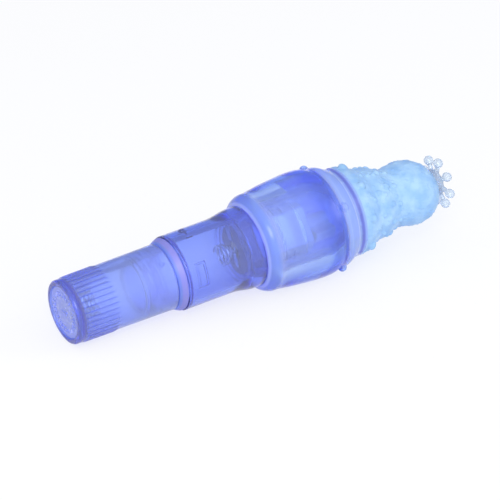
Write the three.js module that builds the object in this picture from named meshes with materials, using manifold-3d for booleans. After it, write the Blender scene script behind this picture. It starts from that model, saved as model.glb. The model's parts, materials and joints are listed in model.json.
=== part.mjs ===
// Pocket hand massager: a clear battery tube with a screw cap, a motor with an off-centre weight
// in a domed head, and a soft jelly sleeve with nubs that is pulled over the head.
// Millimetres, +Z up. The long axis is laid out along local +X, from the cap's end to the tip,
// and the whole is then tilted so that it lies on the table on its cap and its sleeve.
import * as THREE from 'three';
import { mergeVertices } from 'three/addons/utils/BufferGeometryUtils.js';
import Module from 'manifold-3d';

const wasm = await Module();
wasm.setup();

// Clearances between separate pieces.
const gap = 0.3;
const shaftClearance = 0.15;
const overrun = 1;

// The cell that the bay is made for, size AA at its largest.
const cellRadius = 7.25;
const cellLength = 50.5;
const cellClearance = 0.35;
const contactAllowance = 1.9;

// Battery cap.
const capLength = 32.8;
const capEndRadius = 9.72;
const capMouthRadius = 10.05;
const capRimRound = 1.1;
const capRimLand = 0.55;
const capEndWall = 1.3;
const capBayRadius = 8.3;
const capThreadWall = 0.95;
const discRecess = 0.35;
const discThickness = 1;
const ribCount = 38;
const ribStart = 1.9;
const ribLength = 12.1;
const ribHeight = 0.25;
const ribRadius = 0.6;

// Pressed contacts and coil springs.
const contactThickness = 0.4;
const stripAngle = -17.5;
const stripHalfAngle = 20.5;
const tailWidth = 2.5;
const stripThickness = 0.3;
const wireRadius = 0.35;
const capSpringBase = 5.4;
const capSpringTop = 3.1;
const capSpringLength = 6.4;
const capSpringTurns = 4;
const tipSpringRadius = 3;
const tipSpringLength = 3.2;
const tipSpringTurns = 2;

// Seal ring between the cap and the tube, and the thread's pitch.
const sealLength = 2.45;
const sealRound = 0.3;
const neckWall = 0.75;
const neckLead = 0.4;
const threadPitch = 3;
const threadTurns = 3;

// Battery tube.
const tubeRadius = 11.42;
const tubeWall = 1.5;
const tubeMouthLength = 4.5;
const tubeEdgeRound = 0.35;
const flareLength = 8.4;
const flareRadius = 12.4;
const tubeEndRound = 1.7;
const catchAngle = 76.5;
const catchWidth = 8.2;
const catchLength = 3.6;
const catchHeight = 0.7;
const catchPlaceShare = 0.15;

// Contact carrier behind the motor.
const carrierThickness = 1.2;
const rivetHeadRadius = 2.1;
const rivetHeadHeight = 0.6;
const rivetStemRadius = 0.8;

// Motor, a round can with two flats.
const motorRadius = 7.75;
const motorFlat = 6.1;
const motorAngle = 57;
const canLength = 18;
const canWall = 0.5;
const bellLength = 3.8;
const terminalWidth = 2.2;
const terminalThickness = 0.5;
const terminalReach = 0.8;
const terminalOffset = 4.6;
const shaftRadius = 1;
const bushRadius = 2.5;
const bushFlange = 0.8;
const bushStandout = 0.8;
const magnetThickness = 1.1;
const magnetLength = 12;
const magnetSpanAngle = 84;
const armatureRadius = 5.2;
const armatureLength = 8;
const poleCount = 3;
const poleWidth = 2.4;
const poleShoe = 1.1;
const poleSlot = 1.6;
const armatureHubRadius = 2;
const commutatorRadius = 2.2;
const commutatorLength = 2.6;
const weightRadius = 6.3;
const weightLength = 6.5;
const weightHubRadius = 2.5;
const weightStandoff = 1.1;
const shaftTail = 0.8;
const holderLength = 4;
const holderInset = 3.5;

// Head shell and the collar ring behind it.
const headRadius = 11.3;
const headInnerRadius = 9.1;
const spigotWall = 0.8;
const collarLength = 2.5;
const collarRadius = 11.1;
const collarNotchWidth = 2.2;
const collarNotchDepth = 1.3;
const collarNotchCount = 4;
const collarNotchAngle = 15;
const weightInDome = 4.1;
const headEdgeRound = 0.5;

// Soft sleeve.
const sleeveOverlap = 0.15;
const sleeveLength = 66.55;
const sleeveWall = 4.2;
const sleeveMouthPlay = 0.6;
const sleeveThroat = 5.35;
const droopStart = 75;
const droopDepth = 2.6;
const nubRadius = 1.2;

// Crown of ball-tipped stems.
const crownCount = 8;
const crownHubRadius = 4.9;
const crownHubLength = 1.6;
const crownHubFaceShare = 0.6;
const crownStemPlaceShare = 0.25;
const crownReach = 7;
const crownForward = 0.8;
const crownAngle = 9;
const crownLift = 0.9;
const crownBallRadius = 1.58;
const crownStemRadius = 0.68;

// Round pieces have this many sides.
const shellSides = 40;
const partSides = 20;
const pinSides = 12;
const flatSides = 8;

const degrees = Math.PI / 180;

// Stations along the axis, in the order in which the pieces stack up.
const plateX = discRecess + discThickness + gap + capEndWall + gap;
const bayX = plateX + contactThickness;
const carrierX = bayX + cellLength + contactAllowance;
const carrierEndX = carrierX + carrierThickness;
const bellX = carrierEndX + terminalReach;
const canX = bellX + bellLength + gap;
const canEndX = canX + canLength;
const weightX = canEndX + weightStandoff + gap;
const weightEndX = weightX + weightLength;
const sealX = capLength + gap;
const shoulderX = sealX + sealLength + gap;
const tubeEndX = carrierEndX + tubeMouthLength;
const neckReach = threadPitch * threadTurns - gap;
const neckX = capLength - neckReach;
const collarX = tubeEndX + gap;
const spigotX = carrierEndX + stripThickness + 2 * gap;
const headX = collarX + collarLength + gap;
const domeX = weightEndX - weightInDome;
const sleeveX = tubeEndX - sleeveOverlap;
const sleeveTipX = sleeveX + sleeveLength;

// Radii that follow from the fits.
const capThreadRadius = capMouthRadius - capThreadWall;
const neckRadius = capThreadRadius - gap;
const neckBore = neckRadius - neckWall;
const tubeBore = tubeRadius - tubeWall;
const stripRadius = cellRadius + cellClearance;
const tubeStripRadius = tubeBore - gap - stripThickness;
const spigotRadius = headInnerRadius + spigotWall;
const mouthBore = spigotRadius + gap;
const headBore = headRadius + gap;
const sleeveMouthRadius = flareRadius + sleeveMouthPlay;
const sleeveRadius = flareRadius + sleeveWall;

// Drops duplicate corners and slivers, and turns the faces outward.
function welded(geometry) {
  geometry.deleteAttribute('normal');
  geometry.deleteAttribute('uv');
  const merged = mergeVertices(geometry, 1e-4);
  const place = merged.getAttribute('position');
  const old = merged.getIndex().array;
  const kept = [];
  let volume = 0;
  const a = new THREE.Vector3();
  const b = new THREE.Vector3();
  const c = new THREE.Vector3();
  for (let i = 0; i < old.length; i += 3) {
    const [p, q, r] = [old[i], old[i + 1], old[i + 2]];
    if (p === q || q === r || r === p) continue;
    a.fromBufferAttribute(place, p);
    b.fromBufferAttribute(place, q);
    c.fromBufferAttribute(place, r);
    volume += a.dot(b.cross(c));
    kept.push(p, q, r);
  }
  if (volume < 0) kept.reverse();
  merged.setIndex(kept);
  return merged;
}

function toSolid(geometry) {
  const mesh = welded(geometry);
  return new wasm.Manifold(new wasm.Mesh({
    numProp: 3,
    vertProperties: new Float32Array(mesh.getAttribute('position').array),
    triVerts: new Uint32Array(mesh.getIndex().array),
  }));
}

function toGeometry(solid) {
  const mesh = solid.getMesh();
  const corners = [];
  for (let i = 0; i < mesh.vertProperties.length; i += mesh.numProp) {
    corners.push(mesh.vertProperties[i], mesh.vertProperties[i + 1], mesh.vertProperties[i + 2]);
  }
  const geometry = new THREE.BufferGeometry();
  geometry.setAttribute('position', new THREE.Float32BufferAttribute(corners, 3));
  geometry.setIndex(Array.from(mesh.triVerts));
  return geometry;
}

function joined(solids) {
  return solids.reduce((whole, piece) => whole.add(piece));
}

function cut(whole, solids) {
  return solids.reduce((left, tool) => left.subtract(tool), whole);
}

// Turns an outline of [station, radius] corners about the X axis.
function revolved(outline, sides = shellSides) {
  const corners = outline.map(([x, r]) => new THREE.Vector2(r, x));
  return welded(new THREE.LatheGeometry(corners, sides).rotateZ(-Math.PI / 2));
}

// A plain ring or tube between two stations.
function ringOutline(x0, x1, inner, outer) {
  return [[x0, inner], [x1, inner], [x1, outer], [x0, outer], [x0, inner]];
}

function rodOutline(x0, x1, radius) {
  return [[x0, 0], [x0, radius], [x1, radius], [x1, 0]];
}

// Corners of an arc in the plane of an outline, angles in degrees from +X towards +radius.
function arc(x, r, radius, from, to, steps) {
  return Array.from({ length: steps + 1 }, (unused, i) => {
    const angle = (from + (to - from) * i / steps) * degrees;
    return [x + radius * Math.cos(angle), r + radius * Math.sin(angle)];
  });
}

// A flat shape in the Y-Z plane, drawn as (y, z), made solid from x0 to x1.
function extruded(shape, x0, x1, curveSegments = partSides) {
  const geometry = new THREE.ExtrudeGeometry(shape, { depth: x1 - x0, bevelEnabled: false, curveSegments });
  const axes = new THREE.Matrix4().makeBasis(
    new THREE.Vector3(0, 1, 0), new THREE.Vector3(0, 0, 1), new THREE.Vector3(1, 0, 0));
  return geometry.applyMatrix4(axes).translate(x0, 0, 0);
}

function box(x0, x1, y0, y1, z0, z1) {
  return new THREE.BoxGeometry(x1 - x0, y1 - y0, z1 - z0)
    .translate((x0 + x1) / 2, (y0 + y1) / 2, (z0 + z1) / 2);
}

// Turns a piece that was drawn at the top about the axis, towards -Y for a positive angle.
function rolled(geometry, angle) {
  return geometry.rotateX(angle * degrees);
}

function spaced(count, start = 0) {
  return Array.from({ length: count }, (unused, i) => start + i * 360 / count);
}

// A wire wound about the X axis, whose radius changes evenly from base to top.
class CoilCurve extends THREE.Curve {
  constructor(x0, length, base, top, turns) {
    super();
    Object.assign(this, { x0, length, base, top, turns });
  }

  getPoint(t, target = new THREE.Vector3()) {
    const angle = t * this.turns * 2 * Math.PI;
    const radius = this.base + (this.top - this.base) * t;
    return target.set(this.x0 + this.length * t, radius * Math.cos(angle), radius * Math.sin(angle));
  }
}

// The least free space between turns, from points along the wire's middle line.
function leastGap(curve, turns) {
  const perTurn = 24;
  const count = turns * perTurn;
  const points = Array.from({ length: count + 1 }, (unused, i) => curve.getPoint(i / count));
  let least = Infinity;
  points.forEach((point, i) => {
    points.slice(i + perTurn / 2).forEach((other) => {
      least = Math.min(least, point.distanceTo(other) - 2 * wireRadius);
    });
  });
  return least;
}

function coil(x0, length, base, top, turns) {
  const stepsPerTurn = 8;
  const wireSides = 5;
  const curve = new CoilCurve(x0 + wireRadius, length - 2 * wireRadius, base, top, turns);
  console.log(`coil at ${x0.toFixed(1)}: least gap between turns ${leastGap(curve, turns).toFixed(2)} mm`);
  const section = new THREE.Shape(Array.from({ length: wireSides }, (unused, i) => {
    const angle = i * 2 * Math.PI / wireSides;
    return new THREE.Vector2(wireRadius * Math.cos(angle), wireRadius * Math.sin(angle));
  }));
  return new THREE.ExtrudeGeometry(section, {
    steps: turns * stepsPerTurn, extrudePath: curve, bevelEnabled: false,
  });
}

// Materials, with colours as they look on the real thing.
function finish(color, roughness, metalness = 0, opacity = 1) {
  return new THREE.MeshStandardMaterial({ color, roughness, metalness, opacity, transparent: opacity < 1 });
}

const clearBlue = finish(0x7f93f0, 0.15, 0, 0.6);
const clearLilac = finish(0xa9a0ea, 0.3, 0, 0.8);
const softBlue = finish(0x8fb4f5, 0.35, 0, 0.7);
const softClear = finish(0xc3cddd, 0.25, 0, 0.7);
const nickel = finish(0xb9bcc2, 0.3, 1);
const brass = finish(0xb08d4a, 0.35, 1);
const steel = finish(0x9b9ea5, 0.35, 1);
const darkPlastic = finish(0x514c55, 0.6);
const copper = finish(0xa5653a, 0.4, 1);
const ferrite = finish(0x3c3a3c, 0.7);

const model = new THREE.Group();

function place(name, geometry, material) {
  const mesh = new THREE.Mesh(welded(geometry), material);
  mesh.name = name;
  model.add(mesh);
}

// Battery cap: a drafted cup with a recess for its end disc, finger ribs and a threaded mouth.
function capRadiusAt(x) {
  return capEndRadius + (capMouthRadius - capEndRadius) * x / capLength;
}

function capOutline() {
  const rimTop = capRadiusAt(capRimRound) - capRimRound;
  const recessRadius = rimTop - capRimLand;
  const discSeat = discRecess + discThickness + gap;
  const innerWall = discSeat + capEndWall;
  const threadEnd = neckX - contactThickness - stripThickness - 3 * gap;
  return [
    [discSeat, 0], [discSeat, recessRadius], [0, recessRadius],
    ...arc(capRimRound, rimTop, capRimRound, 180, 90, 3),
    [capLength, capMouthRadius], [capLength, capThreadRadius],
    [threadEnd, capThreadRadius], [threadEnd, capBayRadius],
    [innerWall, capBayRadius], [innerWall, 0],
  ];
}

function batteryCap() {
  const slope = Math.atan2(capMouthRadius - capEndRadius, capLength);
  const ribMiddle = ribStart + ribLength / 2;
  const crest = capRadiusAt(ribMiddle) + ribHeight;
  const ribs = spaced(ribCount).map((angle) => {
    const rib = new THREE.CylinderGeometry(ribRadius, ribRadius, ribLength, 4)
      .rotateZ(Math.PI / 2)
      .rotateY(-slope)
      .translate(ribMiddle, 0, crest - ribRadius);
    return toSolid(rolled(rib, angle));
  });
  return toGeometry(joined([toSolid(revolved(capOutline())), ...ribs]));
}

function capEndDisc() {
  const radius = capRadiusAt(capRimRound) - capRimRound - capRimLand - gap / 2;
  return revolved(rodOutline(discRecess, discRecess + discThickness, radius), shellSides);
}

// Sheet strip that is curved to lie along a round wall.
function curvedStrip(x0, x1, inner, outer) {
  const half = stripHalfAngle * degrees;
  const shape = new THREE.Shape();
  shape.absarc(0, 0, outer, Math.PI / 2 - half, Math.PI / 2 + half, false);
  shape.absarc(0, 0, inner, Math.PI / 2 + half, Math.PI / 2 - half, true);
  shape.closePath();
  return toSolid(rolled(extruded(shape, x0, x1, flatSides), stripAngle));
}

// The cap's pressed contact: a disc behind the spring, a wide leg along the wall, and a ring
// that meets the tube's strip at any angle of the cap.
function capContact() {
  const ringX = neckX - gap - stripThickness - gap - contactThickness;
  const legOuter = stripRadius + stripThickness;
  const ringOuter = legOuter + stripThickness / 2;
  const disc = revolved(rodOutline(plateX, plateX + contactThickness, legOuter), partSides);
  const ring = revolved(ringOutline(ringX, ringX + contactThickness, stripRadius, ringOuter), partSides);
  const leg = curvedStrip(plateX, ringX + contactThickness, stripRadius, legOuter);
  return toGeometry(joined([toSolid(disc), toSolid(ring), leg]));
}

// Seal ring: a cone from the cap's mouth out to the tube, on the neck of the tube.
function capSealRing() {
  const inner = neckRadius + gap;
  const end = sealX + sealLength;
  const outer = tubeRadius - sealRound;
  return revolved([
    [sealX, inner], [end, inner], [end, outer],
    ...arc(end - sealRound, outer - sealRound, sealRound, 60, 120, 2),
    [sealX, capMouthRadius], [sealX, inner],
  ]);
}

// Battery tube: a threaded neck, a straight barrel, and a flared end with a rounded lip.
function tubeOutline() {
  const flareX = tubeEndX - tubeEndRound - flareLength;
  const flareSteps = 4;
  const flare = Array.from({ length: flareSteps + 1 }, (unused, i) => {
    const share = i / flareSteps;
    return [flareX + flareLength * share,
      tubeRadius + (flareRadius - tubeRadius) * (1 - Math.cos(Math.PI * share)) / 2];
  });
  return [
    [neckX, neckBore], [neckX, neckRadius - neckLead], [neckX + neckLead, neckRadius],
    [shoulderX, neckRadius],
    [shoulderX, tubeRadius - tubeEdgeRound], [shoulderX + tubeEdgeRound, tubeRadius],
    ...flare,
    ...arc(tubeEndX - tubeEndRound, flareRadius - tubeEndRound, tubeEndRound, 72, 0, 3),
    [tubeEndX, mouthBore], [carrierEndX + gap, mouthBore], [carrierEndX + gap, tubeBore],
    [shoulderX + tubeWall, tubeBore], [shoulderX + tubeWall, neckBore], [neckX, neckBore],
  ];
}

function batteryTube() {
  const embed = tubeBore + tubeWall / 3;
  const catchX = shoulderX + (carrierX - shoulderX) * catchPlaceShare;
  const pad = box(catchX, catchX + catchLength, -catchWidth / 2, catchWidth / 2,
    tubeBore - catchHeight, embed);
  const padCore = box(catchX + catchHeight, catchX + catchLength - catchHeight,
    catchHeight - catchWidth / 2, catchWidth / 2 - catchHeight, 0, tubeBore - catchHeight / 2);
  const catchPad = cut(toSolid(rolled(pad, catchAngle)), [toSolid(rolled(padCore, catchAngle))]);
  return toGeometry(joined([toSolid(revolved(tubeOutline())), catchPad]));
}

// The tube's contact strip lies along the wall of the barrel and steps in through the neck,
// with one foot over the neck's end and one down to the motor's terminal.
function tubeContactStrip() {
  const footX = neckX - gap - stripThickness;
  const stepX = shoulderX + tubeWall + gap;
  const tailX = carrierEndX + gap;
  const end = tailX + stripThickness;
  const top = tubeStripRadius + stripThickness;
  const tail = box(tailX, end, -tailWidth / 2, tailWidth / 2, terminalOffset - tailWidth / 2,
    tubeStripRadius + stripThickness / 2);
  return toGeometry(joined([
    curvedStrip(footX, footX + stripThickness, stripRadius, neckRadius - neckLead),
    curvedStrip(footX, stepX + stripThickness, stripRadius, stripRadius + stripThickness),
    curvedStrip(stepX, stepX + stripThickness, stripRadius, top),
    curvedStrip(stepX, end, tubeStripRadius, top),
    toSolid(rolled(tail, stripAngle)),
  ]));
}

// Carrier: an insulating disc that closes the bay, with a notch where the strip passes.
function contactCarrier() {
  const disc = toSolid(revolved(ringOutline(carrierX, carrierEndX, rivetStemRadius + gap / 2,
    tubeBore - gap)));
  const half = stripHalfAngle * degrees + gap / tubeStripRadius;
  const shape = new THREE.Shape();
  shape.absarc(0, 0, tubeBore + overrun, Math.PI / 2 - half, Math.PI / 2 + half, false);
  shape.absarc(0, 0, tubeStripRadius - gap, Math.PI / 2 + half, Math.PI / 2 - half, true);
  shape.closePath();
  const notch = rolled(extruded(shape, carrierX - overrun, carrierEndX + overrun, flatSides), stripAngle);
  return toGeometry(cut(disc, [toSolid(notch)]));
}

function positiveContact() {
  const headX0 = carrierX - gap - rivetHeadHeight;
  const tailX = carrierEndX + gap;
  const rivet = revolved([
    [headX0, 0], [headX0, rivetHeadRadius], [carrierX - gap, rivetHeadRadius],
    [carrierX - gap, rivetStemRadius], [tailX + stripThickness, rivetStemRadius],
    [tailX + stripThickness, 0],
  ], pinSides);
  const tail = box(tailX, tailX + stripThickness, -tailWidth / 2, tailWidth / 2, 0,
    terminalOffset + terminalThickness);
  return toGeometry(joined([toSolid(rivet), toSolid(rolled(tail, stripAngle + 180))]));
}

// Motor outline: a circle with two flats, whose size can be grown or shrunk.
function motorShape(offset) {
  const radius = motorRadius + offset;
  const flat = motorFlat + offset;
  const half = Math.acos(flat / radius);
  const shape = new THREE.Shape();
  shape.absarc(0, 0, radius, half - Math.PI / 2, Math.PI / 2 - half, false);
  shape.absarc(0, 0, radius, half + Math.PI / 2, 3 * Math.PI / 2 - half, false);
  shape.closePath();
  return shape;
}

function motorPrism(x0, x1, offset) {
  return toSolid(rolled(extruded(motorShape(offset), x0, x1, flatSides), motorAngle));
}

function shaftHole(radius) {
  return toSolid(revolved(rodOutline(bellX - overrun, weightEndX + overrun, radius), partSides));
}

function motorEndBell() {
  const slots = [0, 180].map((angle) => toSolid(rolled(box(bellX - overrun, bellX + bellLength + overrun,
    -terminalWidth / 2 - gap, terminalWidth / 2 + gap, terminalOffset - gap,
    terminalOffset + terminalThickness + gap), stripAngle + angle)));
  return toGeometry(cut(motorPrism(bellX, bellX + bellLength, 0), [shaftHole(bushRadius + gap), ...slots]));
}

function terminal(angle) {
  const x0 = carrierEndX + gap + stripThickness + gap / 2;
  return rolled(box(x0, bellX + bellLength - gap, -terminalWidth / 2, terminalWidth / 2,
    terminalOffset, terminalOffset + terminalThickness), angle);
}

function motorCan() {
  const hollow = motorPrism(canX - overrun, canEndX - canWall, -canWall);
  return toGeometry(cut(motorPrism(canX, canEndX, 0), [hollow, shaftHole(bushRadius + gap)]));
}

// Flanged bush: the flange lies inside the motor, the stem fills the hole in the wall.
function rearBush() {
  const bore = shaftRadius + shaftClearance;
  const flangeX = bellX + bellLength + gap;
  const end = flangeX + canWall;
  return revolved([
    [bellX + gap, bore], [end, bore], [end, bushRadius + bushFlange], [flangeX, bushRadius + bushFlange],
    [flangeX, bushRadius], [bellX + gap, bushRadius], [bellX + gap, bore],
  ], partSides);
}

function frontBush() {
  const bore = shaftRadius + shaftClearance;
  const flangeX = canEndX - canWall - gap;
  const start = flangeX - canWall;
  const end = canEndX + bushStandout;
  return revolved([
    [start, bore], [end, bore], [end, bushRadius], [flangeX, bushRadius],
    [flangeX, bushRadius + bushFlange], [start, bushRadius + bushFlange], [start, bore],
  ], partSides);
}

function magnet(angle) {
  const outer = motorRadius - canWall - gap;
  const half = magnetSpanAngle / 2 * degrees;
  const shape = new THREE.Shape();
  shape.absarc(0, 0, outer, -half, half, false);
  shape.absarc(0, 0, outer - magnetThickness, half, -half, true);
  shape.closePath();
  const x0 = canX + (canLength - magnetLength) / 2;
  return rolled(extruded(shape, x0, x0 + magnetLength, flatSides), motorAngle + angle);
}

// Armature: a hub with three poles, each with a shoe that follows the magnets.
function armature() {
  const x0 = canX + (canLength - armatureLength) / 2;
  const x1 = x0 + armatureLength;
  const poles = spaced(poleCount).map((angle) => toSolid(rolled(
    box(x0, x1, -poleWidth / 2, poleWidth / 2, 0, armatureRadius - poleShoe / 2), angle)));
  const rim = toSolid(revolved(ringOutline(x0, x1, armatureRadius - poleShoe, armatureRadius), partSides));
  const slots = spaced(poleCount, 180 / poleCount).map((angle) => toSolid(rolled(
    box(x0 - overrun, x1 + overrun, -poleSlot / 2, poleSlot / 2, armatureHubRadius, armatureRadius + overrun),
    angle)));
  const hub = toSolid(revolved(rodOutline(x0, x1, armatureHubRadius), partSides));
  return toGeometry(cut(joined([hub, ...poles, rim]), [...slots, shaftHole(shaftRadius + shaftClearance)]));
}

function commutator() {
  const x0 = canX + (canLength - armatureLength) / 2 - gap - commutatorLength;
  return revolved(ringOutline(x0, x0 + commutatorLength, shaftRadius + shaftClearance, commutatorRadius),
    partSides);
}

// Off-centre weight: half a disc on a hub, hanging down at rest.
function eccentricWeight() {
  const shape = new THREE.Shape();
  shape.absarc(0, 0, weightRadius, Math.PI, 2 * Math.PI, false);
  shape.absarc(0, 0, weightHubRadius, 0, Math.PI, false);
  shape.closePath();
  return toGeometry(cut(toSolid(extruded(shape, weightX, weightEndX, pinSides)),
    [shaftHole(shaftRadius + shaftClearance)]));
}

// Soft holder ring that seats the motor in the head.
function motorHolder(x0) {
  const ring = toSolid(revolved(rodOutline(x0, x0 + holderLength, headInnerRadius - gap), partSides));
  return toGeometry(cut(ring, [motorPrism(x0 - overrun, x0 + holderLength + overrun, gap)]));
}

// Collar ring between the tube and the head, with four notches in its front edge.
function collarRing() {
  const end = collarX + collarLength;
  const ring = toSolid(revolved(ringOutline(collarX, end, spigotRadius + gap, collarRadius)));
  const notches = spaced(collarNotchCount, collarNotchAngle).map((angle) => toSolid(rolled(
    box(end - collarNotchDepth, end + overrun,
      -collarNotchWidth / 2, collarNotchWidth / 2, spigotRadius, collarRadius + overrun), angle)));
  return toGeometry(cut(ring, notches));
}

// Head shell: a spigot that plugs into the tube, a straight barrel and a domed end.
function headShell() {
  const domeSteps = 5;
  return revolved([
    [spigotX, headInnerRadius], [spigotX, spigotRadius], [headX, spigotRadius],
    [headX, headRadius - headEdgeRound], [headX + headEdgeRound, headRadius],
    ...arc(domeX, 0, headRadius, 90, 0, domeSteps + 1),
    ...arc(domeX, 0, headInnerRadius, 0, 90, domeSteps),
    [spigotX, headInnerRadius],
  ]);
}

// The sleeve's outside, as shares of its length and of its largest radius, from the mouth over
// the lip, the bulge, the stepped rings, the neck and the ball to the tip.
const sleeveOutlineShares = [
  [0.0015, 0.795], [0.006, 0.825], [0.0135, 0.856], [0.0265, 0.884], [0.0472, 0.905],
  [0.0807, 0.912], [0.1366, 0.945], [0.2077, 0.975], [0.289, 0.998], [0.3448, 0.99],
  [0.3804, 0.955], [0.421, 0.942], [0.4464, 0.9], [0.4769, 0.843], [0.5429, 0.815],
  [0.5835, 0.745], [0.614, 0.685], [0.6628, 0.663], [0.7003, 0.6], [0.741, 0.546],
  [0.7867, 0.575], [0.8476, 0.607], [0.9035, 0.563], [0.9492, 0.45], [0.9848, 0.255],
];
const outlineSteps = 1.25;

// Rows of nubs: place along the sleeve as a share of its length, how many, turn from one at the
// bottom in steps, and size as a share of the largest nub.
const nubRowShares = [
  [0.404, 4, 0.59, 1], [0.56, 8, 0.73, 1], [0.63, 10, 0.3, 0.6], [0.688, 11, 0.66, 0.7],
  [0.733, 10, 0.1, 0.55],
];

function sleeveCurve() {
  const corners = sleeveOutlineShares.map(([along, out]) => (
    new THREE.Vector2(sleeveX + along * sleeveLength, out * sleeveRadius)));
  return new THREE.SplineCurve([...corners, new THREE.Vector2(sleeveTipX, 0)]);
}

function sleeveRadiusAt(x) {
  const samples = sleeveCurve().getPoints(sleeveOutlineShares.length * 8);
  const next = samples.findIndex((point) => point.x > x);
  const [a, b] = [samples[next - 1], samples[next]];
  return a.y + (b.y - a.y) * (x - a.x) / (b.x - a.x);
}

// The soft end hangs a little, more towards the tip.
function droopAt(x) {
  return droopDepth * (Math.max(0, x - droopStart) / (sleeveTipX - droopStart)) ** 2;
}

function drooped(geometry) {
  const spot = geometry.getAttribute('position');
  for (let i = 0; i < spot.count; i += 1) spot.setZ(i, spot.getZ(i) - droopAt(spot.getX(i)));
  return geometry;
}

function sleeveOutside() {
  const steps = Math.round(sleeveOutlineShares.length * outlineSteps);
  return sleeveCurve().getPoints(steps).map((point) => [point.x, Math.max(0, point.y)]);
}

function softSleeve() {
  const throatX = sleeveX + sleeveThroat;
  const lipRound = (sleeveOutlineShares[0][1] * sleeveRadius - sleeveMouthRadius) / 2 + gap;
  const cavity = [
    ...arc(domeX, 0, headBore, 0, 90, 6),
    [throatX, headBore],
    [sleeveX + lipRound * 2, sleeveMouthRadius - lipRound],
    [sleeveX + lipRound, sleeveMouthRadius],
    [sleeveX, sleeveMouthRadius + lipRound / 2],
  ];
  const body = toSolid(revolved([...cavity, ...sleeveOutside()]));
  const nubs = nubRowShares.flatMap(([along, count, turn, size]) => {
    const x = sleeveX + along * sleeveLength;
    const radius = nubRadius * size;
    return spaced(count, 180 + turn * 360 / count).map((angle) => {
      const nub = new THREE.SphereGeometry(radius, 6, 3).rotateX(Math.PI / 2);
      return toSolid(rolled(nub.translate(x, 0, sleeveRadiusAt(x)), angle));
    });
  });
  return drooped(toGeometry(joined([body, ...nubs])));
}

// Crown: a clear hub a little above the middle of the ball's nose, with stems that spread out
// to balls.
function tipCrown() {
  const front = sleeveTipX + crownHubLength;
  const stemX = sleeveTipX + crownHubLength * crownStemPlaceShare;
  const hub = toSolid(revolved([
    [sleeveTipX - crownHubLength / 2, 0], [sleeveTipX - crownHubLength / 2, crownHubRadius],
    [stemX + crownStemRadius, crownHubRadius], [front, crownHubRadius * crownHubFaceShare], [front, 0],
  ], partSides));
  const lean = Math.atan2(crownForward, crownReach);
  const stems = spaced(crownCount, crownAngle).flatMap((angle) => {
    const stem = new THREE.CylinderGeometry(crownStemRadius, crownStemRadius, crownReach, 6)
      .rotateX(Math.PI / 2)
      .translate(0, 0, crownReach / 2);
    const ball = new THREE.SphereGeometry(crownBallRadius, 6, 5).translate(0, 0, crownReach);
    return [stem, ball].map((piece) => toSolid(rolled(piece.rotateY(lean).translate(stemX, 0, 0), angle)));
  });
  const noseSteps = 60;
  const nose = sleeveCurve().getPoints(noseSteps)
    .filter((point) => point.x > sleeveTipX - crownHubRadius * 2)
    .map((point) => [point.x + gap, Math.max(0, point.y)]);
  const noseSolid = toSolid(revolved([[nose[0][0], 0], ...nose], partSides));
  const spray = joined([hub, ...stems]).translate([0, 0, crownLift]);
  return drooped(toGeometry(cut(spray, [noseSolid])));
}

place('battery_cap', batteryCap(), clearBlue);
place('cap_end_disc', capEndDisc(), clearLilac);
place('cap_contact', capContact(), nickel);
const capCoil = coil(bayX + gap, capSpringLength, capSpringBase, capSpringTop, capSpringTurns);
place('negative_spring', capCoil, nickel);
place('cap_seal_ring', capSealRing(), clearLilac);
place('battery_tube', batteryTube(), clearBlue);
place('tube_contact_strip', tubeContactStrip(), nickel);
place('contact_carrier', contactCarrier(), clearBlue);
place('positive_contact', positiveContact(), nickel);
const tipSpringX = carrierX - 2 * gap - rivetHeadHeight - tipSpringLength;
const tipCoil = coil(tipSpringX, tipSpringLength, tipSpringRadius, tipSpringRadius, tipSpringTurns);
place('positive_spring', tipCoil, nickel);
place('motor_end_bell', motorEndBell(), darkPlastic);
place('terminal_negative', terminal(stripAngle), brass);
place('terminal_positive', terminal(stripAngle + 180), brass);
place('rear_bush', rearBush(), brass);
place('motor_can', motorCan(), steel);
place('front_bush', frontBush(), brass);
place('magnet_left', magnet(0), ferrite);
place('magnet_right', magnet(180), ferrite);
place('armature', armature(), steel);
place('commutator', commutator(), copper);
place('motor_shaft', revolved(rodOutline(bellX + gap, weightEndX + shaftTail, shaftRadius), pinSides), steel);
place('eccentric_weight', eccentricWeight(), steel);
place('motor_holder_rear', motorHolder(canX + holderInset), softClear);
place('motor_holder_front', motorHolder(canEndX - holderInset - holderLength), softClear);
place('collar_ring', collarRing(), clearLilac);
place('head_shell', headShell(), clearBlue);
place('soft_sleeve', softSleeve(), softBlue);
place('tip_crown', tipCrown(), softClear);

// Lie down: the cap's ribs and the swell of the sleeve touch the table.
const ribReach = capRadiusAt(ribStart) + ribHeight;
const tilt = Math.max(...sleeveOutside().map(([x, r]) => (
  Math.atan2(r + droopAt(x) - ribReach, x - ribStart))));
model.rotation.y = -tilt;
model.updateMatrixWorld(true);
const bounds = new THREE.Box3().setFromObject(model, true);
const middle = bounds.getCenter(new THREE.Vector3());
model.position.set(-middle.x, -middle.y, -bounds.min.z);

export default model;
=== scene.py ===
# %% [markdown]
# # A pocket hand massager in clear plastic and jelly
#
# The object is a small battery massager that lies on a table. From its near end to its far end it has a
# ribbed screw cap, a lilac seal ring, a clear battery tube, a motor in a domed head, and a soft jelly
# sleeve with nubs and a crown of ball-tipped stems, pulled over the head.
#
# Nearly all of it is see-through. So this lesson is about walls with a true thickness, which bend light
# as real ones do, and about clear materials that still let the lamps reach what lies inside.

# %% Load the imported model
import json
import math

import bmesh
import bpy
import numpy as np
from mathutils import Matrix, Vector


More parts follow.
